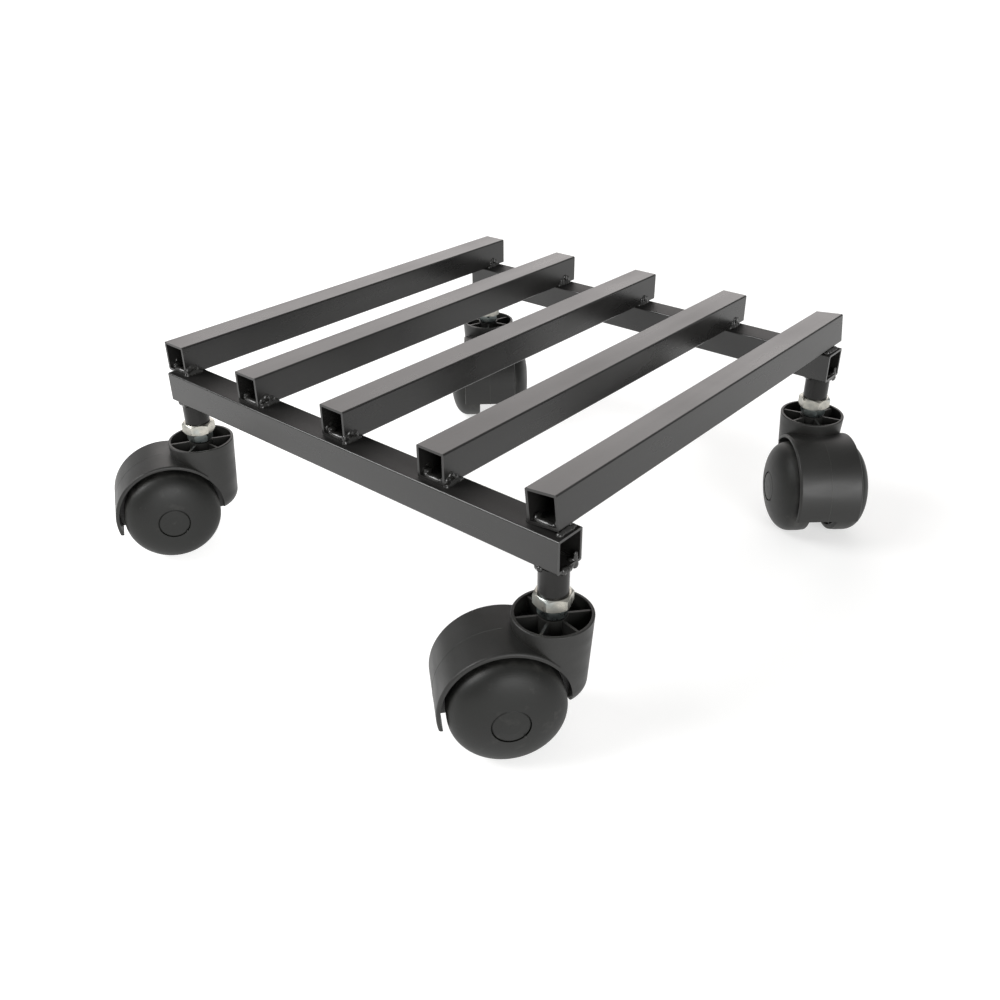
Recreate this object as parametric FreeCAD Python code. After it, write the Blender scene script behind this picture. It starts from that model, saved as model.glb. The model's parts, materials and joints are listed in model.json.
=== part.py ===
"""Plant pot caddy: five square-tube slats on two square-tube rails, on four twin-wheel casters.

All sizes are in millimetres. X runs along the two rails, Y along the slats and Z points up.
The finished model is moved so that its overall box stands centred on the origin at Z = 0.
"""

import FreeCAD
import Part
import math
import os
from FreeCAD import Vector

# Square steel tube, used for the slats and the rails.
TUBE_SIZE = 16.6
TUBE_WALL = 1.3
TUBE_CORNER = 0.9

# Deck of slats. The nudges are the small along-rail and along-slat errors of hand welding,
# and the rolls are the degrees by which a slat was welded down turned about its length.
SLAT_LENGTH = 272.0
SLAT_PITCH = 64.4
SLAT_NUDGES = [(0.0, 0.0), (0.4, -0.9), (0.6, 0.6), (2.2, -0.2), (0.0, 0.5)]
SLAT_ROLLS = [0.0, 0.0, 0.0, 0.0, 6.5]
DECK_SHIFT_X = -3.7
DECK_SHIFT_Y = 3.8

# Rails under the slats.
RAIL_LENGTH = 274.0
RAIL_SPACING = 255.0

# Round stub tubes welded under the rail ends.
STUB_DIAMETER = 13.8
STUB_BORE = 10.4
STUB_LENGTH = 14.0
STUB_INSET = 7.5

# Weld beads.
DECK_BEAD = 2.8
DECK_BEAD_TUCK = 0.7
DECK_BEAD_INSET = 1.6
STUB_BEAD = 2.2
STUB_BEAD_SWEEP = 120.0

# Threaded caster stem, its hexagonal collar and the lock nut.
THREAD_DIAMETER = 10.0
THREAD_IN_STUB = 12.0
COLLAR_FLATS = 12.5
COLLAR_HEIGHT = 5.1
PIN_DIAMETER = 8.0
PIN_LENGTH = 21.0
NUT_FLATS = 16.0
NUT_HEIGHT = 6.3
NUT_BORE = 10.2
HEX_CHAMFER = 0.9

# Caster hood, the moulding that swivels on the stem.
BOSS_TOP_DIAMETER = 36.9
BOSS_LOW_DIAMETER = 31.3
BOSS_ABOVE_AXLE = 37.4
BOSS_BOTTOM_BELOW_AXLE = 6.0
BOSS_BOTTOM_ROUND = 9.5
BOSS_WALL = 1.5
BOSS_EDGE = 0.5
SOCKET_DIAMETER = 13.4
SOCKET_BELOW_RIM = 0.6
RIB_COUNT = 6
RIB_WALL = 1.2
RIB_BELOW_RIM = 1.0
POCKET_DEPTH = 25.0
TRAIL = 22.7
FENDER_WALL = 1.9
FENDER_WIDTH = 36.2
FENDER_EDGE = 1.2
WHEEL_CLEARANCE = 2.6
TAIL_BELOW_AXLE = 7.4
WEB_WIDTH = 13.2
WEB_BELOW_AXLE = 6.0

# Twin wheels and the parts that hold them.
WHEEL_DIAMETER = 53.6
CASTER_WIDTH = 56.4
WHEEL_TO_WEB = 0.8
TREAD_WIDTH = 8.0
TREAD_CROWN = 0.9
DOME_FULLNESS = 2.4
WHEEL_SKIN = 3.0
HUB_DIAMETER = 12.4
WHEEL_RIB_COUNT = 6
WHEEL_RIB_WALL = 1.6
AXLE_DIAMETER = 6.0
AXLE_END_GAP = 3.5
CLIP_DIAMETER = 9.6
CLIP_WALL = 0.8
CLIP_GAP = 0.5
CAP_DIAMETER = 17.0
CAP_GROOVE = 0.35
CAP_FLANGE = 1.6
CAP_PLUG_DIAMETER = 15.2
CAP_SEAT = 0.4
CAP_PLUG_LENGTH = 1.0
CAP_RECESS_DEPTH = 3.0

# Clearances of the turning fits.
RUNNING_CLEARANCE = 0.06
SWIVEL_GAP = 0.5

# Heights that follow from the sizes above.
AXLE_Z = WHEEL_DIAMETER / 2
BOSS_TOP_Z = AXLE_Z + BOSS_ABOVE_AXLE
SOCKET_TOP_Z = BOSS_TOP_Z - SOCKET_BELOW_RIM
COLLAR_BOTTOM_Z = SOCKET_TOP_Z + SWIVEL_GAP
COLLAR_TOP_Z = COLLAR_BOTTOM_Z + COLLAR_HEIGHT
NUT_TOP_Z = COLLAR_TOP_Z + NUT_HEIGHT
RAIL_BOTTOM_Z = NUT_TOP_Z + STUB_LENGTH
RAIL_TOP_Z = RAIL_BOTTOM_Z + TUBE_SIZE
DECK_TOP_Z = RAIL_TOP_Z + TUBE_SIZE

# Corner number: rail end, rail side, heading of the trailing wheels in degrees, weld nudge.
CASTERS = {
    1: (-1, -1, 240.0, (-0.3, 0.4)),
    2: (1, -1, 229.0, (0.4, -1.4)),
    3: (1, 1, -48.0, (-1.2, 1.6)),
    4: (-1, 1, -48.0, (0.0, 0.0)),
}

X_AXIS = Vector(1, 0, 0)
Y_AXIS = Vector(0, 1, 0)
Z_AXIS = Vector(0, 0, 1)


def rod(radius, low, high):
    """Round bar on the Z axis from one height to another."""
    return Part.makeCylinder(radius, high - low, Vector(0, 0, low), Z_AXIS)


def side_rod(radius, start, end):
    """Round bar parallel to Y, centred on the wheel axle, between two Y values."""
    base = Vector(TRAIL, start, AXLE_Z)
    return Part.makeCylinder(radius, end - start, base, Y_AXIS)


def block(x_range, y_range, z_range):
    """Box given by its lowest and highest value along each axis."""
    size = [high - low for low, high in (x_range, y_range, z_range)]
    corner = Vector(x_range[0], y_range[0], z_range[0])
    return Part.makeBox(size[0], size[1], size[2], corner)


def round_edges(shape, radius, keep):
    """Fillet every straight or curved edge that the keep test picks out."""
    edges = [edge for edge in shape.Edges if keep(edge)]
    return shape.makeFillet(radius, edges)


def spin(points, axis):
    """Turn a closed outline of corner points once around an axis through the origin."""
    wire = Part.makePolygon(points + [points[0]])
    return Part.Face(wire).revolve(Vector(0, 0, 0), axis, 360)


def runs_along(edge, axis):
    """True when a straight edge is parallel to the axis."""
    first, last = edge.Vertexes[0].Point, edge.Vertexes[-1].Point
    along = last - first
    return along.Length > 0 and abs(along.normalize().dot(axis)) > 0.999


def tube(length):
    """Open square tube along X, centred on the origin."""
    half = TUBE_SIZE / 2
    hollow = half - TUBE_WALL
    outer = block((-length / 2, length / 2), (-half, half), (-half, half))
    outer = round_edges(outer, TUBE_CORNER, lambda edge: runs_along(edge, X_AXIS))
    inner = block((-length, length), (-hollow, hollow), (-hollow, hollow))
    return outer.cut(inner)


def slat_centre(index):
    """Middle of one slat, counted from the left end of the rails."""
    nudge_x, nudge_y = SLAT_NUDGES[index]
    middle = (len(SLAT_NUDGES) - 1) / 2
    x = DECK_SHIFT_X + (index - middle) * SLAT_PITCH + nudge_x
    roll = math.radians(SLAT_ROLLS[index])
    flat = TUBE_SIZE / 2 - TUBE_CORNER
    lift = flat * (math.cos(roll) + math.sin(roll)) + TUBE_CORNER
    return Vector(x, DECK_SHIFT_Y + nudge_y, RAIL_TOP_Z + lift)


def slat_foot(index, face):
    """Distance of a slat's lower left (-1) or lower right (1) edge from its middle, along X."""
    roll = math.radians(SLAT_ROLLS[index])
    return TUBE_SIZE / 2 * (face * math.cos(roll) + math.sin(roll))


def slat(index):
    shape = tube(SLAT_LENGTH)
    shape.rotate(Vector(0, 0, 0), X_AXIS, -SLAT_ROLLS[index])
    shape.rotate(Vector(0, 0, 0), Z_AXIS, 90)
    shape.translate(slat_centre(index))
    return shape


def rail(side):
    shape = tube(RAIL_LENGTH)
    shape.translate(Vector(0, side * RAIL_SPACING / 2, RAIL_BOTTOM_Z + TUBE_SIZE / 2))
    return shape


def quarter_bead(radius, length):
    """Quarter-round bar along Y that fills the corner between +X and +Z."""
    bar = Part.makeCylinder(radius, length, Vector(0, -length / 2, 0), Y_AXIS)
    corner = block((0, radius * 2), (-length, length), (0, radius * 2))
    return bar.common(corner)


def deck_welds(side):
    """Beads along both feet of every slat on one rail, tucked under the rounded tube corner."""
    length = TUBE_SIZE - 2 * DECK_BEAD_INSET
    beads = []
    for index in range(len(SLAT_NUDGES)):
        for face in (-1, 1):
            bead = quarter_bead(DECK_BEAD, length)
            if face < 0:
                bead.rotate(Vector(0, 0, 0), Z_AXIS, 180)
            x = slat_centre(index).x + slat_foot(index, face) - face * DECK_BEAD_TUCK
            bead.translate(Vector(x, side * RAIL_SPACING / 2, RAIL_TOP_Z))
            beads.append(bead.cut(slat(index)))
    return Part.makeCompound(beads)


def stem_position(number):
    """Plan position of one caster stem."""
    end, side, heading, nudge = CASTERS[number]
    x = end * (RAIL_LENGTH / 2 - STUB_INSET) + nudge[0]
    y = side * RAIL_SPACING / 2 + nudge[1]
    return Vector(x, y, 0)


def stub():
    outer = rod(STUB_DIAMETER / 2, NUT_TOP_Z, RAIL_BOTTOM_Z)
    return outer.cut(rod(STUB_BORE / 2, 0, RAIL_BOTTOM_Z + 1))


def stub_welds(side):
    """Two curved beads between each stub of one rail and the rail above it."""
    inner = STUB_DIAMETER / 2
    beads = []
    for number in CASTERS:
        if CASTERS[number][1] != side:
            continue
        for start in (-STUB_BEAD_SWEEP / 2, 180 - STUB_BEAD_SWEEP / 2):
            top = Vector(inner, 0, RAIL_BOTTOM_Z)
            outer = Vector(inner + STUB_BEAD, 0, RAIL_BOTTOM_Z)
            low = Vector(inner, 0, RAIL_BOTTOM_Z - STUB_BEAD)
            turn = STUB_BEAD / math.sqrt(2)
            middle = Vector(inner + turn, 0, RAIL_BOTTOM_Z - turn)
            arc = Part.Arc(outer, middle, low).toShape()
            wire = Part.Wire([Part.makeLine(top, outer), arc, Part.makeLine(low, top)])
            bead = Part.Face(wire).revolve(Vector(0, 0, 0), Z_AXIS, STUB_BEAD_SWEEP)
            bead.rotate(Vector(0, 0, 0), Z_AXIS, start)
            bead.translate(stem_position(number))
            beads.append(bead)
    return Part.makeCompound(beads)


def hexagon(flats, low, high):
    """Hexagonal bar on the Z axis with both ends chamfered around its corners."""
    corner = flats / math.sqrt(3)
    ring = [k * math.pi / 3 for k in range(6)]
    points = [Vector(corner * math.cos(a), corner * math.sin(a), low) for a in ring]
    bar = Part.Face(Part.makePolygon(points + [points[0]])).extrude(Vector(0, 0, high - low))
    wide = corner + 1
    narrow = flats / 2 * 0.97
    slope = (corner - narrow) * HEX_CHAMFER / (corner - flats / 2)
    outline = [
        Vector(0, 0, low),
        Vector(narrow, 0, low),
        Vector(wide, 0, low + slope * (wide - narrow) / (corner - narrow)),
        Vector(wide, 0, high - slope * (wide - narrow) / (corner - narrow)),
        Vector(narrow, 0, high),
        Vector(0, 0, high),
    ]
    return bar.common(spin(outline, Z_AXIS))


def stem():
    thread = rod(THREAD_DIAMETER / 2, COLLAR_TOP_Z, NUT_TOP_Z + THREAD_IN_STUB)
    collar = hexagon(COLLAR_FLATS, COLLAR_BOTTOM_Z, COLLAR_TOP_Z)
    pin = rod(PIN_DIAMETER / 2, COLLAR_BOTTOM_Z - PIN_LENGTH, COLLAR_BOTTOM_Z)
    return collar.fuse([thread, pin]).removeSplitter()


def nut():
    outer = hexagon(NUT_FLATS, COLLAR_TOP_Z, NUT_TOP_Z)
    return outer.cut(rod(NUT_BORE / 2, COLLAR_TOP_Z - 1, NUT_TOP_Z + 1))


def boss_outside(inset, low):
    """Tapered outside of the hood boss, made smaller all round by an inset."""
    top = BOSS_TOP_DIAMETER / 2 - inset
    bottom_z = AXLE_Z - BOSS_BOTTOM_BELOW_AXLE
    taper = (BOSS_TOP_DIAMETER - BOSS_LOW_DIAMETER) / 2 / (BOSS_TOP_Z - bottom_z)
    bottom = top - taper * (BOSS_TOP_Z - low)
    return Part.makeCone(bottom, top, BOSS_TOP_Z - low, Vector(0, 0, low), Z_AXIS)


def boss_body():
    """Boss with its bottom edge rounded over and its rim edge softened."""
    body = boss_outside(0, AXLE_Z - BOSS_BOTTOM_BELOW_AXLE)
    low = body.BoundBox.ZMin
    high = body.BoundBox.ZMax

    def at(edge, height):
        return abs(edge.BoundBox.ZMin - height) < 0.01 and abs(edge.BoundBox.ZMax - height) < 0.01

    body = round_edges(body, BOSS_BOTTOM_ROUND, lambda edge: at(edge, low))
    return round_edges(body, BOSS_EDGE, lambda edge: at(edge, high))


def fender_radius():
    return WHEEL_DIAMETER / 2 + WHEEL_CLEARANCE + FENDER_WALL


def fender():
    """Band over the wheels, from the boss over the top and down to the tail."""
    radius = fender_radius()
    half = FENDER_WIDTH / 2
    drum = side_rod(radius, -half, half)
    drum = drum.makeFillet(FENDER_EDGE, [e for e in drum.Edges if e.Closed])
    low = AXLE_Z - TAIL_BELOW_AXLE
    rear = block((TRAIL, TRAIL + radius * 2), (-half * 2, half * 2), (low, AXLE_Z + radius * 2))
    top = block((0, TRAIL + 1), (-half * 2, half * 2), (AXLE_Z, AXLE_Z + radius * 2))
    return drum.common(rear.fuse(top).removeSplitter())


def web():
    """Middle wall between the wheels. It carries the axle and the stem socket."""
    half = WEB_WIDTH / 2
    low = AXLE_Z - WEB_BELOW_AXLE
    radius = fender_radius() - FENDER_WALL / 2
    disc = side_rod(radius, -half, half)
    front = BOSS_LOW_DIAMETER / 2 - BOSS_BOTTOM_ROUND
    keep = block((-front, TRAIL + radius * 2), (-half, half), (low, AXLE_Z + radius * 2))
    return disc.common(keep)


def wheel_wells():
    """Space for the two wheels, one on each side of the web."""
    radius = WHEEL_DIAMETER / 2 + WHEEL_CLEARANCE
    half = WEB_WIDTH / 2
    reach = CASTER_WIDTH
    return side_rod(radius, half, reach).fuse(side_rod(radius, -reach, -half))


def boss_pockets():
    """Open pockets in the top of the boss, between the rim, the ribs and the socket."""
    floor = BOSS_TOP_Z - POCKET_DEPTH
    hollow = boss_outside(BOSS_WALL, floor)
    hollow = hollow.cut(side_rod(fender_radius(), -FENDER_WIDTH, FENDER_WIDTH))
    hollow = hollow.cut(rod(SOCKET_DIAMETER / 2, 0, BOSS_TOP_Z))
    for index in range(RIB_COUNT):
        rib = block((0, BOSS_TOP_DIAMETER), (-RIB_WALL / 2, RIB_WALL / 2), (0, BOSS_TOP_Z - RIB_BELOW_RIM))
        rib.rotate(Vector(0, 0, 0), Z_AXIS, index * 360 / RIB_COUNT)
        hollow = hollow.cut(rib)
    return hollow


def hood():
    shape = boss_body().fuse([fender(), web()])
    shape = shape.cut(wheel_wells())
    shape = shape.cut(boss_pockets())
    above_socket = rod(SOCKET_DIAMETER / 2 + 0.1, SOCKET_TOP_Z, BOSS_TOP_Z + 1)
    bore = rod(
        PIN_DIAMETER / 2 + RUNNING_CLEARANCE,
        COLLAR_BOTTOM_Z - PIN_LENGTH - SWIVEL_GAP,
        BOSS_TOP_Z + 1,
    )
    axle_hole = side_rod(AXLE_DIAMETER / 2, -WEB_WIDTH, WEB_WIDTH)
    return shape.cut([above_socket, bore, axle_hole]).removeSplitter()


def cap_seat():
    """Distance from the middle of the caster to the face that a hub cap sits on."""
    return CASTER_WIDTH / 2 - CAP_FLANGE - CAP_SEAT


def axle():
    reach = CASTER_WIDTH / 2 - AXLE_END_GAP
    return side_rod(AXLE_DIAMETER / 2, -reach, reach)


def clip_start():
    """Distance from the middle of the caster to the inner face of a clip."""
    return cap_seat() - CAP_RECESS_DEPTH + CLIP_GAP


def clips():
    """Push-on clips that keep the wheels on the axle."""
    ring = CLIP_DIAMETER / 2
    rings = []
    for side in (-1, 1):
        start, end = sorted((side * clip_start(), side * (clip_start() + CLIP_WALL)))
        solid = side_rod(ring, start, end)
        rings.append(solid.cut(side_rod(AXLE_DIAMETER / 2, -CASTER_WIDTH, CASTER_WIDTH)))
    return Part.makeCompound(rings)


def dome_points(start, depth, radius, last_radius):
    """Points down a dome face, fuller than an ellipse, from its rim to its recess."""
    power = 2 / DOME_FULLNESS
    last = math.acos((last_radius / radius) ** (1 / power))
    steps = 20
    points = []
    for step in range(steps + 1):
        angle = last * step / steps
        across = start + depth * math.sin(angle) ** power
        points.append((across, radius * math.cos(angle) ** power))
    return points


def wheel_outline():
    """Half section of the wheel on the +Y side, distance from the caster middle and radius."""
    radius = WHEEL_DIAMETER / 2
    inside = WEB_WIDTH / 2 + WHEEL_TO_WEB
    shoulder = inside + TREAD_WIDTH
    depth = CASTER_WIDTH / 2 - shoulder
    recess = CAP_DIAMETER / 2 + CAP_GROOVE
    points = [(inside, radius - 2 * TREAD_CROWN), (inside + TREAD_CROWN, radius - TREAD_CROWN / 3)]
    points += [(inside + TREAD_WIDTH / 2, radius)]
    points += dome_points(shoulder, depth, radius, recess)
    seat = cap_seat()
    floor = seat - CAP_RECESS_DEPTH
    bore = AXLE_DIAMETER / 2 + RUNNING_CLEARANCE
    points += [(seat, recess), (seat, CAP_PLUG_DIAMETER / 2)]
    points += [(floor, CAP_PLUG_DIAMETER / 2), (floor, bore), (inside, bore)]
    return points


def wheel_hollow_outline():
    """Half section of the ring-shaped hollow that opens toward the web."""
    radius = WHEEL_DIAMETER / 2
    inside = WEB_WIDTH / 2 + WHEEL_TO_WEB
    shoulder = inside + TREAD_WIDTH
    depth = CASTER_WIDTH / 2 - shoulder
    floor = cap_seat() - CAP_RECESS_DEPTH - WHEEL_SKIN * 0.7
    outer = radius - WHEEL_SKIN
    hub = HUB_DIAMETER / 2
    return [
        (inside - 1, hub),
        (inside - 1, outer),
        (shoulder, outer),
        (shoulder + depth * 0.45, outer * 0.82),
        (floor, outer * 0.62),
        (floor, hub),
    ]


def spin_wheel(outline):
    """Turn a wheel section around the axle line."""
    points = [Vector(r, y, 0) for y, r in outline]
    shape = spin(points, Y_AXIS)
    shape.translate(Vector(TRAIL, 0, AXLE_Z))
    return shape


def mirror_side(shape, side):
    """Give the part for one side of the caster from the one modelled on the +Y side."""
    if side > 0:
        return shape
    return shape.mirror(Vector(0, 0, 0), Y_AXIS)


def wheel(side):
    body = spin_wheel(wheel_outline())
    hollow = spin_wheel(wheel_hollow_outline())
    inside = WEB_WIDTH / 2 + WHEEL_TO_WEB
    for index in range(WHEEL_RIB_COUNT):
        half = WHEEL_RIB_WALL / 2
        rib = block((0, WHEEL_DIAMETER), (inside + 1, CASTER_WIDTH), (-half, half))
        rib.rotate(Vector(0, 0, 0), Y_AXIS, index * 360 / WHEEL_RIB_COUNT)
        rib.translate(Vector(TRAIL, 0, AXLE_Z))
        hollow = hollow.cut(rib)
    return mirror_side(body.cut(hollow), side)


def cap(side):
    """Round hub cap: a slightly domed flange with a plug that fills the wheel's seat."""
    seat = cap_seat()
    top = CASTER_WIDTH / 2
    radius = CAP_DIAMETER / 2
    outline = [
        (seat, 0),
        (seat, radius),
        (top - 0.9, radius),
        (top - 0.5, radius - 0.5),
        (top - 0.1, radius * 0.5),
        (top, 0),
    ]
    plug = side_rod(CAP_PLUG_DIAMETER / 2, seat - CAP_PLUG_LENGTH, seat)
    return mirror_side(spin_wheel(outline).fuse(plug).removeSplitter(), side)


def place_caster(shape, number):
    """Turn a caster part to its heading and stand it under its corner."""
    heading = CASTERS[number][2]
    shape.rotate(Vector(0, 0, 0), Z_AXIS, heading)
    shape.translate(stem_position(number))
    return shape


def caster_parts():
    """Builders of the pieces that repeat at every corner."""
    return {
        "stub": stub,
        "stem": stem,
        "lock_nut": nut,
        "hood": hood,
        "axle": axle,
        "axle_clips": clips,
        "wheel_a": lambda: wheel(1),
        "wheel_b": lambda: wheel(-1),
        "hub_cap_a": lambda: cap(1),
        "hub_cap_b": lambda: cap(-1),
    }


def build():
    """Every node by name, in the design position."""
    nodes = {}
    for index in range(len(SLAT_NUDGES)):
        nodes["slat_%d" % (index + 1)] = slat(index)
    for name, side in (("front", -1), ("back", 1)):
        nodes[name + "_rail"] = rail(side)
        nodes[name + "_deck_welds"] = deck_welds(side)
        nodes[name + "_stub_welds"] = stub_welds(side)
    for number in CASTERS:
        for part, make in caster_parts().items():
            nodes["caster_%d_%s" % (number, part)] = place_caster(make(), number)
    return nodes


def centring(nodes):
    """Move that stands the overall box centred on the origin."""
    box = Part.makeCompound(list(nodes.values())).optimalBoundingBox(False)
    return Vector(-box.Center.x, -box.Center.y, -box.ZMin)


def main():
    os.makedirs("parts", exist_ok=True)
    nodes = build()
    move = centring(nodes)
    for name, shape in nodes.items():
        shape.translate(move)
        shape.exportStep("parts/%s.step" % name)


if __name__ == "__main__":
    main()
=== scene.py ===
"""Looks, weld beads, mould marks and studio for a welded plant pot caddy on twin-wheel casters."""

import json
import math
import random

import bmesh
import bpy
from bpy.props import FloatProperty, FloatVectorProperty, IntProperty, PointerProperty
from mathutils import Matrix, Vector


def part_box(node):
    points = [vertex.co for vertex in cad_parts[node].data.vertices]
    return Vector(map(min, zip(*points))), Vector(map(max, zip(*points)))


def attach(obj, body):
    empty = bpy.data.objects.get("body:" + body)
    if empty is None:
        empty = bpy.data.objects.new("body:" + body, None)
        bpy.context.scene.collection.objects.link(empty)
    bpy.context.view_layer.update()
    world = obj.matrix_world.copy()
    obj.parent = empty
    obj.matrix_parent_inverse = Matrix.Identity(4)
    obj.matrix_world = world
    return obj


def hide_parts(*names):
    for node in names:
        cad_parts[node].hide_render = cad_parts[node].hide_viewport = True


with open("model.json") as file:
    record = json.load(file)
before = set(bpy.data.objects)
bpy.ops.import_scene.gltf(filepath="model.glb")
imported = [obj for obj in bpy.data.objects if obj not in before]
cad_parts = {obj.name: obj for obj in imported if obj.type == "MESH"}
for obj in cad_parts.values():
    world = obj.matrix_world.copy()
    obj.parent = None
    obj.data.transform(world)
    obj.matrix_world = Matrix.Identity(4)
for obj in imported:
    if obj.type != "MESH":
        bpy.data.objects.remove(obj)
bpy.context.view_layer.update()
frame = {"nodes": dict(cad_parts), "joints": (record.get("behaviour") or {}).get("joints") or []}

bl_info = {
    "name": "Plant Pot Caddy",
    "version": (1, 0, 0),
    "blender": (4, 5, 0),
    "location": "View3D > Sidebar > Caddy",
    "description": "Paint, weld beads, mould marks and studio for a welded plant pot caddy",
    "category": "Object",
}

MM = 0.001
SLATS = [f"slat_{number}" for number in range(1, 6)]
RAILS = ["front_rail", "back_rail"]
CORNERS = (1, 2, 3, 4)
SIDES = ("a", "b")
Z_AXIS = Vector((0, 0, 1))

# Outside radius of a hood's fender about the axle.
FENDER_RADIUS = 31.3 * MM
# Slats welded on turned about their length: how far the left foot is in from the box.
ROLLED_SLATS = {"slat_5": 1.7 * MM}

# Where the beads at a slat's feet start, in from the outer face of the rail.
LEFT_BEAD_START = 6.5 * MM
RIGHT_BEAD_START = 4.8 * MM
# The mould line over a hood: where it starts and how far it runs, in degrees, and its steps.
SEAM_START = 14
SEAM_SWEEP = 104
SEAM_STEPS = 60

# Lights as the direction they come from and how wide they look, in degrees.
BACK_LIGHT = ((-0.56, 0.66, 0.5), 54)
KEY_LIGHT = ((-0.56, -0.5, 0.66), 29)
BARE_LAMP = ((-0.3, -0.62, 0.72), 4)
FILL_LIGHT = ((0.84, -0.43, 0.34), 32)
WHITE = (1, 1, 1)
BACK_TINT = (1, 0.945, 0.93)

# The floor sheet: half its width, and the direction in which its painted pool of lamp light grows.
FLOOR_REACH = 9
PAINTED_POOL_GROWS = (-0.65, -0.76, 0)
SENSOR_WIDTH = 36


# ---------------------------------------------------------------- sizes and colours


def colour(name, description, default):
    return FloatVectorProperty(
        name=name, description=description, default=default, size=3, min=0, max=1, subtype="COLOR"
    )


def length(name, description, default):
    return FloatProperty(
        name=name, description=description, default=default, min=0, unit="LENGTH", precision=5
    )


def share(name, description, default):
    return FloatProperty(
        name=name, description=description, default=default, min=0, max=1, subtype="FACTOR"
    )


def amount(name, description, default):
    return FloatProperty(name=name, description=description, default=default, min=0)


def turned(name, description, degrees):
    return FloatProperty(
        name=name, description=description, default=math.radians(degrees), subtype="ANGLE"
    )


class CaddyPaint(bpy.types.PropertyGroup):
    """Satin enamel on the steel tube."""

    colour: colour("Enamel", "Colour of the enamel", (0.0105, 0.0102, 0.0097))
    # Paler enamel used for dust and for the line along edges, which is partly rubbed wear and
    # partly a painted edge highlight.
    wear_and_edge_highlight: colour("Worn enamel", "Colour where handling has rubbed an edge", (0.06, 0.058, 0.055))
    gloss_low: share("Roughness low", "Roughness of the glossiest enamel", 0.24)
    gloss_high: share("Roughness high", "Roughness of the dullest enamel", 0.36)
    # Width of the paler edge line: rubbed wear and painted edge highlight.
    edge: length("Worn edge", "Width of the rubbed line along an edge", 0.45 * MM)
    peel: length("Orange peel", "Height of the sprayed texture", 0.012 * MM)


class CaddyBeads(bpy.types.PropertyGroup):
    """Weld beads under the enamel."""

    colour: colour("Enamel on beads", "Colour of thick enamel on a bead", (0.0115, 0.0113, 0.0105))
    radius: length("Bead radius", "Radius of one puddle of a bead", 2.2 * MM)
    step: length("Puddle step", "Distance between puddles", 1.9 * MM)
    spatter: length("Spatter", "Largest drop of spatter", 0.45 * MM)
    voxel: length("Bead detail", "Smallest detail kept in a bead", 0.3 * MM)
    seed: IntProperty(name="Bead seed", description="Picks another set of puddles", default=7)


class CaddyMetal(bpy.types.PropertyGroup):
    """Plated hardware."""

    zinc: colour("Zinc", "Bright zinc plate", (0.48, 0.465, 0.415))
    stem: colour("Stem", "Thin passivated zinc of the stems", (0.3, 0.345, 0.34))
    zinc_dull: colour("Dull zinc", "Zinc that has dulled", (0.27, 0.28, 0.26))
    steel: colour("Steel", "Drawn steel of the axles", (0.5, 0.5, 0.5))


class CaddyMoulding(bpy.types.PropertyGroup):
    """Moulded nylon of hoods, wheels and caps."""

    hood: colour("Hood", "Nylon of the hoods", (0.0118, 0.0118, 0.0108))
    wheel: colour("Wheel", "Nylon of the wheels", (0.0072, 0.0075, 0.0066))
    dust: colour("Dust", "Dust on the treads", (0.075, 0.073, 0.067))
    seam_width: length("Seam width", "Width of the mould line over a hood", 0.7 * MM)
    seam_height: length("Seam height", "Height of the mould line over a hood", 0.07 * MM)
    nib: length("Cap nib", "Length of the gate nib on a hub cap", 1.3 * MM)


class CaddyStudio(bpy.types.PropertyGroup):
    """Floor, lights and camera."""

    floor: colour("Floor", "Colour of the floor", (0.5, 0.5, 0.497))
    # Painted light: the floor's emission lifts it and fills the shadows on it; the next setting
    # adds a painted pool of lamp light on the front left.
    floor_painted_light: share("Floor glow", "Light that the floor sheet passes from below", 0.56)
    painted_lamp_pool: share("Floor glow in front", "The same on the front left, near the lamps", 0.8)
    sky: amount("Room light", "Light from all round", 0.4)
    back: amount("Back light", "Strength of the wide light behind", 1.08)
    key: amount("Key light", "Strength of the light on the front left", 2.2)
    spark: amount("Bare lamp", "Strength of the small bright lamp", 0.08)
    fill: amount("Fill light", "Strength of the light on the right", 1.8)
    lens: amount("Lens", "Focal length in millimetres", 35.66)
    azimuth: turned("Azimuth", "Camera turn", 40.594)
    elevation: turned("Elevation", "Camera tilt", 30.361)
    roll: turned("Roll", "Camera roll", -0.513)
    place: FloatVectorProperty(
        name="Camera place",
        description="Where the camera stands",
        default=(0.335347, -0.38828, 0.32283),
        size=3,
        subtype="TRANSLATION",
        unit="LENGTH",
    )


# ---------------------------------------------------------------- node helpers


def add_node(tree, kind, inputs=None, **settings):
    """A node with its settings; an input is a value, or a socket to link."""
    made = tree.nodes.new(kind)
    for key, value in settings.items():
        setattr(made, key, value)
    for key, value in (inputs or {}).items():
        if isinstance(value, bpy.types.NodeSocket):
            tree.links.new(value, made.inputs[key])
        else:
            made.inputs[key].default_value = value
    return made


def new_material(name):
    """A material with an empty tree, its shader and the piece's own coordinates."""
    material = bpy.data.materials.new(name)
    material.use_nodes = True
    tree = material.node_tree
    tree.nodes.clear()
    shader = add_node(tree, "ShaderNodeBsdfPrincipled")
    output = add_node(tree, "ShaderNodeOutputMaterial")
    tree.links.new(shader.outputs["BSDF"], output.inputs["Surface"])
    place = add_node(tree, "ShaderNodeTexCoord").outputs["Object"]
    return material, tree, shader, place


def noise(tree, place, scale, detail=3.0, stretch=(1, 1, 1), roughness=0.5):
    mapping = add_node(tree, "ShaderNodeMapping", {"Vector": place, "Scale": stretch})
    made = add_node(
        tree,
        "ShaderNodeTexNoise",
        {
            "Vector": mapping.outputs["Vector"],
            "Scale": scale,
            "Detail": detail,
            "Roughness": roughness,
        },
    )
    return made.outputs["Fac"]


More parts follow.
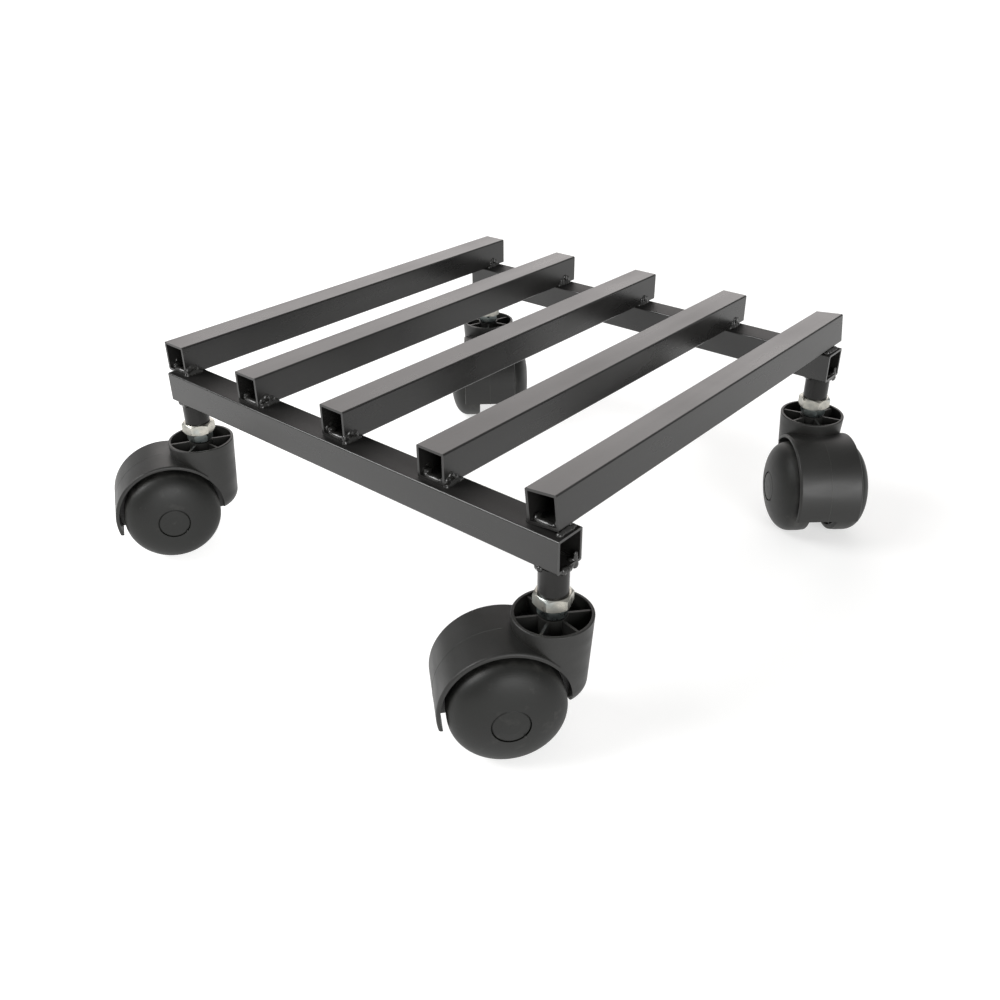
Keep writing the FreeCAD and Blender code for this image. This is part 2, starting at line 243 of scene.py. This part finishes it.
def spread(tree, value, low, high, to_low=0.0, to_high=1.0, smooth=False):
    """Maps a value from one range to another, clamped."""
    made = add_node(
        tree,
        "ShaderNodeMapRange",
        {"Value": value, "From Min": low, "From Max": high, "To Min": to_low, "To Max": to_high},
        interpolation_type="SMOOTHSTEP" if smooth else "LINEAR",
    )
    return made.outputs["Result"]


def calculate(tree, operation, first, second=0.0):
    made = add_node(tree, "ShaderNodeMath", {0: first, 1: second}, operation=operation)
    return made.outputs["Value"]


def rgba(value):
    return (*value, 1.0)


def blend_colour(tree, factor, first, second):
    made = add_node(tree, "ShaderNodeMix", {"Factor": factor}, data_type="RGBA")
    for socket, value in ((made.inputs[6], first), (made.inputs[7], second)):
        if isinstance(value, bpy.types.NodeSocket):
            tree.links.new(value, socket)
        else:
            socket.default_value = rgba(value)
    return made.outputs[2]


def scaled(value, factor):
    return tuple(channel * factor for channel in value)


def mottled(tree, cloud, value, low, high):
    """A colour that drifts between two strengths with a cloud."""
    drift = spread(tree, cloud, 0.3, 0.7)
    return blend_colour(tree, drift, scaled(value, low), scaled(value, high))


def relief(tree, height, distance, under=None):
    """A bump; under is another bump's normal."""
    inputs = {"Height": height, "Distance": distance, "Strength": 1.0}
    if under is not None:
        inputs["Normal"] = under
    return add_node(tree, "ShaderNodeBump", inputs).outputs["Normal"]


def edge_mask(tree, radius):
    """1 along edges sharper than the radius, 0 on flats."""
    rounded = add_node(tree, "ShaderNodeBevel", {"Radius": radius}, samples=6).outputs["Normal"]
    flat = add_node(tree, "ShaderNodeNewGeometry").outputs["Normal"]
    dot = add_node(tree, "ShaderNodeVectorMath", {0: rounded, 1: flat}, operation="DOT_PRODUCT")
    return spread(tree, dot.outputs["Value"], 0.995, 0.86)


def axle_distance(tree, place, centre, axis):
    """Distance of the surface from an axle."""
    off = add_node(tree, "ShaderNodeVectorMath", {0: place, 1: centre}, operation="SUBTRACT")
    side = add_node(
        tree, "ShaderNodeVectorMath", {0: off.outputs["Vector"], 1: axis}, operation="CROSS_PRODUCT"
    )
    return add_node(
        tree, "ShaderNodeVectorMath", {0: side.outputs["Vector"]}, operation="LENGTH"
    ).outputs["Value"]


# ---------------------------------------------------------------- finishes


def enamel(name, paint, along, ior=1.5, dull_top=0.5):
    """Satin enamel with drawn streaks of the tube below it; along is the tube's stretch.

    dull_top is the specular level on faces that look up, where overspray has settled.
    """
    material, tree, shader, place = new_material(name)
    cloud = noise(tree, place, 22, 4)
    streak = noise(tree, place, 60, 3, along)
    speck = noise(tree, place, 900, 2)
    tone = mottled(tree, cloud, paint.colour, 0.8, 1.25)
    dust = spread(tree, speck, 0.68, 0.8, 0, 0.35)
    tone = blend_colour(tree, dust, tone, scaled(paint.wear_and_edge_highlight, 0.9))
    # Painted highlight with wear: a paler line along edges, in patches, partly rubbed enamel and
    # partly standing in for light caught on the rounded corners.
    patchy = spread(tree, noise(tree, place, 130, 3), 0.42, 0.62)
    wear_and_edge_highlight = calculate(tree, "MULTIPLY", edge_mask(tree, paint.edge), patchy)
    wear_and_edge_highlight = calculate(tree, "MULTIPLY", wear_and_edge_highlight, 0.55)
    tree.links.new(blend_colour(tree, wear_and_edge_highlight, tone, paint.wear_and_edge_highlight), shader.inputs["Base Color"])
    half_cloud = calculate(tree, "MULTIPLY", cloud, 0.5)
    rough = calculate(tree, "ADD", half_cloud, calculate(tree, "MULTIPLY", streak, 0.5))
    normal = add_node(tree, "ShaderNodeNewGeometry").outputs["Normal"]
    facing = add_node(tree, "ShaderNodeSeparateXYZ", {"Vector": normal})
    up = spread(tree, facing.outputs["Z"], 0.8, 0.98)
    rough = spread(tree, rough, 0.35, 0.65, paint.gloss_low, paint.gloss_high)
    oversprayed = calculate(tree, "MULTIPLY", up, (0.5 - dull_top) * 0.6)
    tree.links.new(calculate(tree, "ADD", rough, oversprayed), shader.inputs["Roughness"])
    tree.links.new(spread(tree, up, 0, 1, 0.5, dull_top), shader.inputs["Specular IOR Level"])
    drawn = relief(tree, streak, paint.peel * 2.2)
    peel = relief(tree, noise(tree, place, 520, 2), paint.peel, drawn)
    tree.links.new(relief(tree, dust, paint.peel, peel), shader.inputs["Normal"])
    shader.inputs["IOR"].default_value = ior
    return material


def bead_enamel(name, beads):
    """Thick glossy enamel over a weld bead."""
    material, tree, shader, place = new_material(name)
    cloud = noise(tree, place, 240, 3)
    tree.links.new(
        blend_colour(tree, cloud, scaled(beads.colour, 0.75), scaled(beads.colour, 1.5)),
        shader.inputs["Base Color"],
    )
    tree.links.new(spread(tree, cloud, 0.3, 0.7, 0.18, 0.34), shader.inputs["Roughness"])
    ripple = noise(tree, place, 420, 2)
    tree.links.new(relief(tree, ripple, 0.02 * MM), shader.inputs["Normal"])
    shader.inputs["IOR"].default_value = 1.55
    return material


def zinc_plate(name, metal, bright):
    """Zinc with patches that have dulled, and the marks of the tool."""
    material, tree, shader, place = new_material(name)
    patch = noise(tree, place, 160, 5, roughness=0.62)
    fine = noise(tree, place, 900, 3, (1, 1, 4))
    tone = blend_colour(tree, spread(tree, patch, 0.42, 0.7), bright, metal.zinc_dull)
    tint = spread(tree, noise(tree, place, 90, 2), 0.5, 0.62, 0, 0.4)
    tone = blend_colour(tree, tint, tone, (0.42, 0.5, 0.52))
    tree.links.new(tone, shader.inputs["Base Color"])
    tree.links.new(spread(tree, patch, 0.3, 0.7, 0.22, 0.46), shader.inputs["Roughness"])
    dents = relief(tree, patch, 0.05 * MM)
    tree.links.new(relief(tree, fine, 0.012 * MM, dents), shader.inputs["Normal"])
    shader.inputs["Metallic"].default_value = 1.0
    return material


def drawn_steel(name, metal):
    material, tree, shader, place = new_material(name)
    streak = noise(tree, place, 500, 3, (1, 1, 0.2))
    tone = blend_colour(tree, streak, scaled(metal.steel, 0.6), metal.steel)
    tree.links.new(tone, shader.inputs["Base Color"])
    tree.links.new(spread(tree, streak, 0.3, 0.7, 0.25, 0.42), shader.inputs["Roughness"])
    tree.links.new(relief(tree, streak, 0.01 * MM), shader.inputs["Normal"])
    shader.inputs["Metallic"].default_value = 1.0
    return material


def moulded_hood(name, moulding, painted_highlight=1.0):
    """Matt nylon with a fine spark-eroded grain, flow marks, and edges made paler in patches:
    scuffs and a painted edge highlight.
    """
    material, tree, shader, place = new_material(name)
    cloud = noise(tree, place, 35, 4)
    grain = noise(tree, place, 2600, 2)
    flow = noise(tree, place, 90, 3, (0.5, 0.5, 1.6))
    # Painted highlight: painted_highlight above 1 makes the whole nylon colour paler.
    tone = mottled(tree, cloud, moulding.hood, 0.85 * painted_highlight, 1.2 * painted_highlight)
    patchy = spread(tree, noise(tree, place, 260, 3), 0.4, 0.65, 0.25, 0.8)
    # Painted highlight with scuffs: edges are made 2.4 times paler in patches, standing in part for
    # light caught along the rims.
    scuff_and_edge_highlight = calculate(tree, "MULTIPLY", edge_mask(tree, 0.5 * MM), patchy)
    tone = blend_colour(tree, scuff_and_edge_highlight, tone, scaled(moulding.hood, 2.4))
    speck = spread(tree, noise(tree, place, 1300, 2), 0.7, 0.82, 0, 0.4)
    tree.links.new(blend_colour(tree, speck, tone, moulding.dust), shader.inputs["Base Color"])
    tree.links.new(spread(tree, flow, 0.3, 0.7, 0.4, 0.52), shader.inputs["Roughness"])
    waves = relief(tree, flow, 0.05 * MM)
    tree.links.new(relief(tree, grain, 0.012 * MM, waves), shader.inputs["Normal"])
    shader.inputs["IOR"].default_value = 1.46
    return material


def moulded_wheel(name, moulding, centre, axis, radius):
    """Smooth nylon with faint turned rings, and dust worked into the tread."""
    material, tree, shader, place = new_material(name)
    cloud = noise(tree, place, 48, 4)
    smear = noise(tree, place, 150, 4, roughness=0.6)
    out = axle_distance(tree, place, centre, axis)
    rings = calculate(tree, "SINE", calculate(tree, "MULTIPLY", out, 9000))
    tread = spread(tree, out, radius - 1.6 * MM, radius - 0.2 * MM, smooth=True)
    dusty = calculate(tree, "MULTIPLY", tread, spread(tree, smear, 0.38, 0.66, 0.02, 0.3))
    tone = mottled(tree, cloud, moulding.wheel, 0.8, 1.35)
    tone = blend_colour(tree, spread(tree, smear, 0.6, 0.78, 0, 0.2), tone, moulding.dust)
    tree.links.new(blend_colour(tree, dusty, tone, moulding.dust), shader.inputs["Base Color"])
    gloss = spread(tree, cloud, 0.3, 0.7, 0.42, 0.55)
    rough = calculate(tree, "ADD", gloss, calculate(tree, "MULTIPLY", dusty, 0.3))
    tree.links.new(rough, shader.inputs["Roughness"])
    turned = relief(tree, rings, 0.0025 * MM)
    tree.links.new(relief(tree, smear, 0.02 * MM, turned), shader.inputs["Normal"])
    shader.inputs["IOR"].default_value = 1.39
    return material


def floor_sheet(name, studio):
    material, tree, shader, place = new_material(name)
    fibre = noise(tree, place, 400, 3)
    tone = blend_colour(tree, fibre, scaled(studio.floor, 0.99), studio.floor)
    tree.links.new(tone, shader.inputs["Base Color"])
    tree.links.new(spread(tree, fibre, 0.3, 0.7, 0.7, 0.8), shader.inputs["Roughness"])
    shader.inputs["Specular IOR Level"].default_value = 0.2
    # Painted light: the floor glows though it is no lamp, filling its shadows and lighting the
    # caddy from below, and glows more towards the front left as a painted pool of lamp light.
    toward = add_node(
        tree, "ShaderNodeVectorMath", {0: place, 1: PAINTED_POOL_GROWS}, operation="DOT_PRODUCT"
    ).outputs["Value"]
    floor_painted_light = spread(tree, toward, -0.25, 0.3, studio.floor_painted_light, studio.painted_lamp_pool, smooth=True)
    tree.links.new(floor_painted_light, shader.inputs["Emission Strength"])
    shader.inputs["Emission Color"].default_value = (1, 1, 0.995, 1)
    return material


# ---------------------------------------------------------------- pieces


def finish_node(node, material):
    """Gives a CAD node its material."""
    mesh = frame["nodes"][node].data
    mesh.materials.clear()
    mesh.materials.append(material)


def add_piece(name, shape, body, material, stands_for=(), smooth=True):
    """Turns a bmesh into a piece that rides on a body."""
    bmesh.ops.recalc_face_normals(shape, faces=shape.faces)
    mesh = bpy.data.meshes.new(name)
    shape.to_mesh(mesh)
    shape.free()
    if smooth:
        mesh.shade_smooth()
    mesh.materials.append(material)
    piece = bpy.data.objects.new(name, mesh)
    bpy.context.scene.collection.objects.link(piece)
    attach(piece, body)
    if stands_for:
        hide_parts(*stands_for)
    return piece


def melt(piece, voxel):
    """Runs overlapping puddles together into one skin."""
    remesh = piece.modifiers.new("melt", "REMESH")
    remesh.mode = "VOXEL"
    remesh.voxel_size = voxel
    remesh.use_smooth_shade = True
    settle = piece.modifiers.new("settle", "SMOOTH")
    settle.factor = 0.5
    settle.iterations = 12


def corners_of(node):
    low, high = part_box(node)
    return Vector(low), Vector(high)


def puddle(shape, centre, radius, stretch=(1, 1, 1)):
    """One blob of weld metal."""
    placed = Matrix.Translation(centre) @ Matrix.Diagonal((*stretch, 1))
    bmesh.ops.create_icosphere(shape, subdivisions=2, radius=radius, matrix=placed)


def bead_run(shape, start, end, beads, picks, size=1.0):
    """A row of puddles from start to end that swells and wanders."""
    run = end - start
    count = max(2, round(run.length / beads.step))
    for index in range(count + 1):
        radius = beads.radius * size * picks.uniform(0.86, 1.12)
        jitter = Vector(picks.uniform(-0.25, 0.25) for _ in range(3)) * MM
        stretch = (1, picks.uniform(1.0, 1.3), picks.uniform(0.85, 1.05))
        puddle(shape, start + run * (index / count) + jitter, radius, stretch)


def spatter(shape, middle, reach, beads, picks, count):
    """Small drops thrown on the flat beside a bead."""
    for _ in range(count):
        along, across = picks.uniform(-reach.x, reach.x), picks.uniform(-reach.y, reach.y)
        spot = middle + Vector((along, across, 0))
        puddle(shape, spot, beads.spatter * picks.uniform(0.6, 1), (1, 1, 0.7))


def deck_bead_group(rail, beads, picks):
    """Beads along both feet of every slat on one rail, and across the open slat ends."""
    shape = bmesh.new()
    low, high = corners_of(rail)
    outward = -1 if rail.startswith("front") else 1
    outer, inner = (low.y, high.y) if outward < 0 else (high.y, low.y)
    for slat in SLATS:
        foot, head = corners_of(slat)
        lean = ROLLED_SLATS.get(slat, 0.0)
        foot.x += lean
        for face, x, back in ((-1, foot.x, LEFT_BEAD_START), (1, head.x, RIGHT_BEAD_START)):
            begin = outer - outward * (back + picks.uniform(-0.4, 0.4) * MM)
            start = Vector((x, begin, high.z + 0.1 * MM))
            stop = Vector((x, inner + outward * picks.uniform(2.6, 4.5) * MM, high.z + 0.1 * MM))
            bead_run(shape, start, stop, beads, picks, 0.92)
            climbs = ()
            if not lean:
                middle, far = picks.uniform(0.3, 0.42), picks.uniform(0.6, 0.75)
                climbs = (0.05, 2.6), (middle, 3.8), (far, 2.4)
            for along, rise in climbs:
                lift = Vector((-face * 0.3, 0, rise + picks.uniform(-0.4, 0.4))) * MM
                radius = beads.radius * picks.uniform(0.78, 0.95)
                puddle(shape, start.lerp(stop, along) + lift, radius, (0.75, 1.1, 1.3))
            middle = Vector((x + face * 6 * MM, (low.y + high.y) / 2, high.z))
            spatter(shape, middle, Vector((3 * MM, 5 * MM, 0)), beads, picks, 4)
        end = foot.y if outward < 0 else head.y
        across = (foot.x + head.x) / 2
        middle = Vector((across, end - outward * 2.2 * MM, high.z + 1.1 * MM + lean / 2))
        puddle(shape, middle, beads.radius * 0.75, (4.2, 1.2, 1))
        corner = Vector((head.x - 2.4 * MM, end - outward * 3.4 * MM, high.z + 2.2 * MM + lean))
        puddle(shape, corner, beads.radius, (0.8, 1.2, 1.1))
        corner = Vector((foot.x + 2.6 * MM, end - outward * 3.8 * MM, high.z + 2.0 * MM))
        puddle(shape, corner, beads.radius * 0.9, (1, 1.3, 1.1))
    return shape


def stub_bead_group(corners, beads, picks):
    """Beads round the stubs under a rail; the outer one climbs the open rail end."""
    shape = bmesh.new()
    for number in corners:
        low, high = corners_of(f"caster_{number}_stub")
        rail = RAILS[0] if number < 3 else RAILS[1]
        rail_low, rail_high = corners_of(rail)
        centre = (low + high) / 2
        radius = (high.x - low.x) / 2
        end = 1 if centre.x > (rail_low.x + rail_high.x) / 2 else -1
        inward = 180 if end > 0 else 0
        for start in (inward - 62, inward + 180 - 20):
            sweep = picks.uniform(110, 135)
            count = round(math.radians(sweep) * radius / beads.step)
            for index in range(count + 1):
                angle = math.radians(start + sweep * index / count)
                out = radius - 0.1 * MM
                around = Vector((out * math.cos(angle), out * math.sin(angle), 0))
                spot = Vector((centre.x, centre.y, high.z)) + around
                drop = Z_AXIS * picks.uniform(-0.5, 0) * MM
                size = beads.radius * picks.uniform(0.75, 1.02)
                puddle(shape, spot + drop, size, (1, 1, picks.uniform(0.9, 1.3)))
        tip = rail_high.x if end > 0 else rail_low.x
        for climb in range(4):
            height = rail_low.z + (1.8 * climb - 1.3) * MM
            spot = Vector((tip - end * 1.0 * MM, rail_high.y - 3 * MM, height))
            puddle(shape, spot, beads.radius * (0.9 - 0.1 * climb), (0.7, 1, 1.1))
    return shape


def hood_seam_shape(centre, axis, radius, moulding):
    """Raised mould line over the middle of a hood, from the tail to the boss."""
    shape = bmesh.new()
    rear = rear_of(centre, axis)
    half = moulding.seam_width / 2
    sink = 0.3 * MM
    section = (
        axis * -half + rear * (radius - sink),
        axis * (-half * 0.4) + rear * (radius + moulding.seam_height),
        axis * (half * 0.4) + rear * (radius + moulding.seam_height),
        axis * half + rear * (radius - sink),
    )
    corners = [shape.verts.new(centre + point) for point in section]
    edges = [shape.edges.new((corners[k], corners[(k + 1) % 4])) for k in range(4)]
    turn = -1 if axis.cross(rear).z > 0 else 1
    tilt = Matrix.Rotation(math.radians(SEAM_START) * turn, 3, axis)
    bmesh.ops.rotate(shape, cent=centre, matrix=tilt, verts=shape.verts)
    sweep = math.radians(-SEAM_SWEEP) * turn
    bmesh.ops.spin(
        shape, geom=corners + edges, cent=centre, axis=axis, angle=sweep, steps=SEAM_STEPS
    )
    bmesh.ops.holes_fill(shape, edges=shape.edges, sides=4)
    return shape


def rear_of(centre, axis):
    """Level direction from the stem side of a caster to its tail."""
    return axis.cross(Z_AXIS).normalized()


def cap_nib_shape(cap, centre, axis, moulding):
    """Gate nib in the groove round a hub cap."""
    shape = bmesh.new()
    node = frame["nodes"][cap]
    points = [node.matrix_world @ vertex.co - centre for vertex in node.data.vertices]
    outward = axis if sum(axis.dot(point) for point in points) > 0 else -axis
    face = max(outward.dot(point) for point in points)
    radius = max((point - outward * outward.dot(point)).length for point in points)
    out = (Z_AXIS.cross(outward) - Z_AXIS).normalized()
    turn = outward.to_track_quat("Z", "Y").to_matrix().to_4x4()
    spot = centre + out * (radius + 0.1 * MM) + outward * face
    flat = Matrix.Diagonal((moulding.nib / 2, moulding.nib / 2, 0.35 * MM, 1))
    placed = Matrix.Translation(spot) @ turn @ flat
    bmesh.ops.create_icosphere(shape, subdivisions=2, radius=1, matrix=placed)
    return shape


class SceneStep:
    """Common parts of the operators below."""

    bl_options = {"REGISTER", "UNDO"}

    @staticmethod
    def joint(name):
        """Where a joint of the frame is and the direction of its axis."""
        for joint in frame["joints"]:
            if joint["name"] == name:
                return Vector(joint["pos_m"]), Vector(joint["axis"]).normalized()
        raise RuntimeError(f"no joint is named {name}")

    def spin_joint(self, number, side):
        return self.joint(f"caster_{number}_spin_{side}")

    def trail(self, number):
        """Level direction from the stem of a caster to its axle."""
        stem, _ = self.joint(f"caster_{number}_swivel")
        off = self.spin_joint(number, "a")[0] - stem
        return Vector((off.x, off.y, 0)).normalized()


class CADDY_OT_paint_tubes(SceneStep, bpy.types.Operator):
    """Sprays the slats, rails and stubs"""

    bl_idname = "caddy.paint_tubes"
    bl_label = "Paint tubes"

    def execute(self, context):
        paint = context.scene.caddy_paint
        slat_paint = enamel("enamel_slats", paint, (1, 0.04, 1))
        rail_paint = enamel("enamel_rails", paint, (0.04, 1, 1), 1.56, 0.16)
        stub_paint = enamel("enamel_stubs", paint, (1, 1, 0.2), 1.32)
        for slat in SLATS:
            finish_node(slat, slat_paint)
        for rail in RAILS:
            finish_node(rail, rail_paint)
        for number in CORNERS:
            finish_node(f"caster_{number}_stub", stub_paint)
        return {"FINISHED"}


class CADDY_OT_lay_beads(SceneStep, bpy.types.Operator):
    """Lays the weld beads of the deck and the stubs"""

    bl_idname = "caddy.lay_beads"
    bl_label = "Lay weld beads"

    def execute(self, context):
        beads = context.scene.caddy_beads
        material = bead_enamel("enamel_beads", beads)
        picks = random.Random(beads.seed)
        for rail, end, corners in (("front_rail", "front", (1, 2)), ("back_rail", "back", (3, 4))):
            deck = deck_bead_group(rail, beads, picks)
            stubs = stub_bead_group(corners, beads, picks)
            for group, shape in (("deck", deck), ("stub", stubs)):
                stands_for = [f"{end}_{group}_welds"]
                name = f"{end}_{group}_beads"
                piece = add_piece(name, shape, "deck", material, stands_for)
                melt(piece, beads.voxel)
        return {"FINISHED"}


class CADDY_OT_plate_metal(SceneStep, bpy.types.Operator):
    """Plates the nuts, stems, axles and clips"""

    bl_idname = "caddy.plate_metal"
    bl_label = "Plate hardware"

    def execute(self, context):
        metal = context.scene.caddy_metal
        zinc = zinc_plate("zinc_plate", metal, metal.zinc)
        stem = zinc_plate("zinc_stem", metal, metal.stem)
        steel = drawn_steel("drawn_steel", metal)
        for number in CORNERS:
            finish_node(f"caster_{number}_lock_nut", zinc)
            finish_node(f"caster_{number}_stem", stem)
            for node in ("axle", "axle_clips"):
                finish_node(f"caster_{number}_{node}", steel)
        return {"FINISHED"}


class CADDY_OT_mould_hoods(SceneStep, bpy.types.Operator):
    """Finishes the hoods and adds their mould lines"""

    bl_idname = "caddy.mould_hoods"
    bl_label = "Mould hoods"

    def execute(self, context):
        moulding = context.scene.caddy_moulding
        material = moulded_hood("hood_nylon", moulding)
        # Painted highlight: the mould line gets a colour 1.9 times paler than the hood, so it reads
        # as a light line although its flat-shaded walls fall in shade.
        painted_highlight = moulded_hood("seam_nylon_painted_highlight", moulding, 1.9)
        for number in CORNERS:
            hood = f"caster_{number}_hood"
            finish_node(hood, material)
            centre, axis = self.spin_joint(number, "a")
            if axis.cross(Z_AXIS).dot(self.trail(number)) < 0:
                axis = -axis
            shape = hood_seam_shape(centre, axis, FENDER_RADIUS, moulding)
            name = f"caster_{number}_hood_seam"
            add_piece(name, shape, f"caster_{number}_fork", painted_highlight, smooth=False)
        return {"FINISHED"}


class CADDY_OT_mould_wheels(SceneStep, bpy.types.Operator):
    """Finishes the wheels and hub caps"""

    bl_idname = "caddy.mould_wheels"
    bl_label = "Mould wheels"

    def execute(self, context):
        moulding = context.scene.caddy_moulding
        for number in CORNERS:
            for side in SIDES:
                centre, axis = self.spin_joint(number, side)
                wheel = f"caster_{number}_wheel_{side}"
                radius = corners_of(wheel)[1].z / 2
                nylon = moulded_wheel(f"wheel_nylon_{number}{side}", moulding, centre, axis, radius)
                finish_node(wheel, nylon)
                cap = f"caster_{number}_hub_cap_{side}"
                finish_node(cap, nylon)
                nib = cap_nib_shape(cap, centre, axis, moulding)
                body = f"caster_{number}_roller_{side}"
                add_piece(f"caster_{number}_cap_nib_{side}", nib, body, nylon)
        return {"FINISHED"}


class CADDY_OT_set_studio(SceneStep, bpy.types.Operator):
    """Sets the floor, the lights and the camera"""

    bl_idname = "caddy.set_studio"
    bl_label = "Set studio"

    def execute(self, context):
        scene = context.scene
        studio = scene.caddy_studio
        shape = bmesh.new()
        bmesh.ops.create_grid(shape, x_segments=4, y_segments=4, size=FLOOR_REACH)
        mesh = bpy.data.meshes.new("floor")
        shape.to_mesh(mesh)
        shape.free()
        mesh.materials.append(floor_sheet("floor_sheet", studio))
        floor = bpy.data.objects.new("floor", mesh)
        scene.collection.objects.link(floor)

        world = bpy.data.worlds.new("room")
        world.use_nodes = True
        background = world.node_tree.nodes["Background"]
        background.inputs["Color"].default_value = (1, 1, 1, 1)
        background.inputs["Strength"].default_value = studio.sky
        scene.world = world
        scene.view_settings.view_transform = "Standard"

        self.soft_light(scene, "back_light", BACK_LIGHT, studio.back, BACK_TINT)
        self.soft_light(scene, "key_light", KEY_LIGHT, studio.key)
        self.soft_light(scene, "bare_lamp", BARE_LAMP, studio.spark)
        self.soft_light(scene, "fill_light", FILL_LIGHT, studio.fill)
        self.place_camera(scene, studio)
        return {"FINISHED"}

    @staticmethod
    def soft_light(scene, name, seen, strength, tint=WHITE):
        """A distant soft box; seen holds the direction it comes from and its apparent width."""
        source, width = seen
        light = bpy.data.lights.new(name, "SUN")
        light.angle = math.radians(width)
        light.energy = strength
        light.color = tint
        lamp = bpy.data.objects.new(name, light)
        scene.collection.objects.link(lamp)
        lamp.rotation_euler = Vector(source).to_track_quat("Z", "Y").to_euler()

    @staticmethod
    def place_camera(scene, studio):
        data = bpy.data.cameras.new("camera")
        data.sensor_width = SENSOR_WIDTH
        data.lens = studio.lens
        camera = bpy.data.objects.new("camera", data)
        scene.collection.objects.link(camera)
        tilt = Matrix.Rotation(math.pi / 2 - studio.elevation, 4, "X")
        turn = Matrix.Rotation(studio.azimuth, 4, "Z")
        roll = Matrix.Rotation(studio.roll, 4, "Z")
        camera.matrix_world = Matrix.Translation(studio.place) @ turn @ tilt @ roll
        scene.camera = camera


class CADDY_PT_sidebar(bpy.types.Panel):
    """Lists the steps that dress the caddy and their sizes"""

    bl_label = "Plant Pot Caddy"
    bl_space_type = "VIEW_3D"
    bl_region_type = "UI"
    bl_category = "Caddy"

    def draw(self, context):
        layout = self.layout
        for step in STEPS:
            layout.operator(step.bl_idname)
        for name, group in GROUPS.items():
            box = layout.box()
            for key in group.__annotations__:
                box.prop(getattr(context.scene, name), key)


GROUPS = {
    "caddy_paint": CaddyPaint,
    "caddy_beads": CaddyBeads,
    "caddy_metal": CaddyMetal,
    "caddy_moulding": CaddyMoulding,
    "caddy_studio": CaddyStudio,
}
STEPS = (
    CADDY_OT_paint_tubes,
    CADDY_OT_lay_beads,
    CADDY_OT_plate_metal,
    CADDY_OT_mould_hoods,
    CADDY_OT_mould_wheels,
    CADDY_OT_set_studio,
)


def register():
    for group in (*GROUPS.values(), *STEPS, CADDY_PT_sidebar):
        bpy.utils.register_class(group)
    for name, group in GROUPS.items():
        setattr(bpy.types.Scene, name, PointerProperty(type=group))


def unregister():
    for name in GROUPS:
        delattr(bpy.types.Scene, name)
    for group in reversed((*GROUPS.values(), *STEPS, CADDY_PT_sidebar)):
        bpy.utils.unregister_class(group)


def main():
    register()
    for step in STEPS:
        family, name = step.bl_idname.split(".")
        getattr(getattr(bpy.ops, family), name)()


if __name__ == "__main__":
    main()
